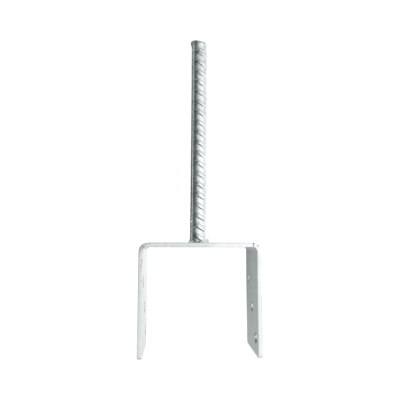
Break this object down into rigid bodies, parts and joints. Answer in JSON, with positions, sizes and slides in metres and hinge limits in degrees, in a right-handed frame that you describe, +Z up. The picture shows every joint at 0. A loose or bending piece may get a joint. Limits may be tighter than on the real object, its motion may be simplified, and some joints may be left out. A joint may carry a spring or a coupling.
{
  "type": "timber post base",
  "caption": "Galvanised steel post base: a folded U strap with screw holes that takes a timber post, and a ribbed bar welded to its web for setting in concrete.",
  "frame": {"origin": "on the ground, at the middle of the footprint of the two leg ends", "axes": "+Z up along the ribbed bar, X across the gap that takes the post, Y along the width of the strap"},
  "size_m": [0.109, 0.06, 0.2988],
  "materials": {
    "galvanised_strap": "hot-dip galvanised, pale grey, faint spangle and runs",
    "galvanised_bar": "hot-dip galvanised over rolled ribs, brighter where the zinc is thin",
    "galvanised_weld": "hot-dip galvanised weld metal, lumpy and dull"
  },
  "bodies": {
    "root": {"u_bracket": "galvanised_strap", "ribbed_bar": "galvanised_bar", "weld_bead": "galvanised_weld"}
  },
  "joints": []
}
